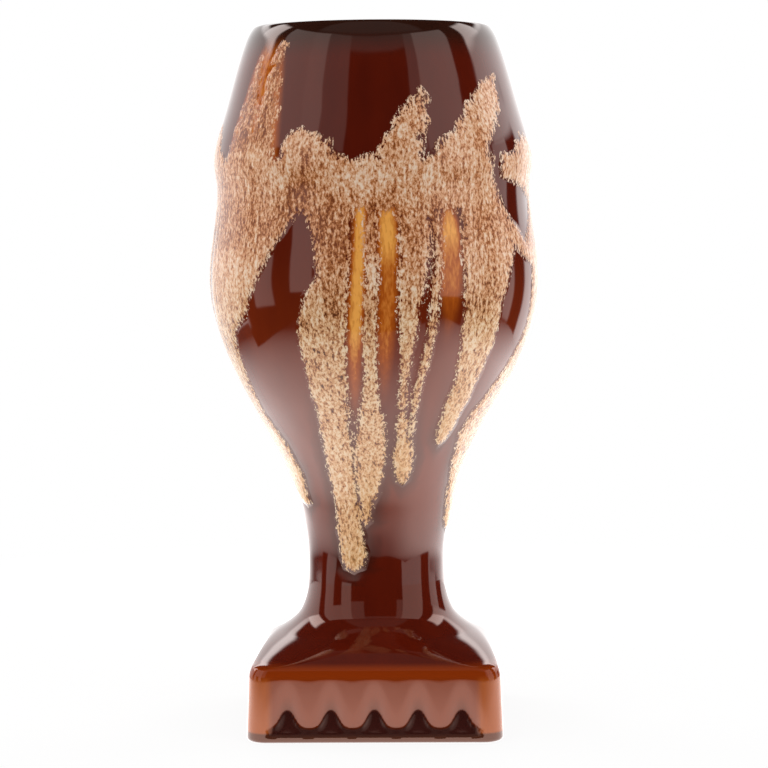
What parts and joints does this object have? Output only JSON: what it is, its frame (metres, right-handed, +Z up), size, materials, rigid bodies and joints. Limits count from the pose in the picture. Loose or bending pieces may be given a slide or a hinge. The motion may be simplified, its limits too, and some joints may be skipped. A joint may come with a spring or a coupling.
{
  "type": "ceramic vase",
  "caption": "Footed ceramic vase: a tulip-shaped bowl on a short stem and a square fluted plinth, brown glazed, with a cream overglaze that runs down from the shoulder.",
  "frame": {"origin": "the middle of the square foot, on the surface that the vase stands on", "axes": "+Z up the vase, -Y out of the plinth face that the picture shows, +X to the right of that view"},
  "size_m": [0.1198, 0.1196, 0.25],
  "materials": {
    "brown_glaze": "glossy transparent red-brown glaze",
    "cream_overglaze": "glossy cream overglaze with brown flecks",
    "fired_slip": "fired clay slip"
  },
  "bodies": {
    "root": {"bowl_casting": "brown_glaze", "plinth_casting": "brown_glaze", "luting_slip": "fired_slip", "cream_belt": "cream_overglaze", "left_outer_streak": "cream_overglaze", "left_inner_streak": "cream_overglaze", "front_hump": "cream_overglaze", "front_peak": "cream_overglaze", "right_peak": "cream_overglaze", "back_right_peak": "cream_overglaze", "back_centre_peak": "cream_overglaze", "back_left_peak": "cream_overglaze", "left_side_peak": "cream_overglaze", "left_sheet_run": "cream_overglaze", "front_long_run": "cream_overglaze", "front_centre_run": "cream_overglaze", "front_bulb_run": "cream_overglaze", "front_thread_run": "cream_overglaze", "right_broad_run": "cream_overglaze", "right_edge_run": "cream_overglaze", "back_right_run": "cream_overglaze", "back_right_long_run": "cream_overglaze", "back_centre_run": "cream_overglaze", "back_thin_run": "cream_overglaze", "back_left_long_run": "cream_overglaze", "back_left_run": "cream_overglaze", "left_side_run": "cream_overglaze"}
  },
  "joints": []
}
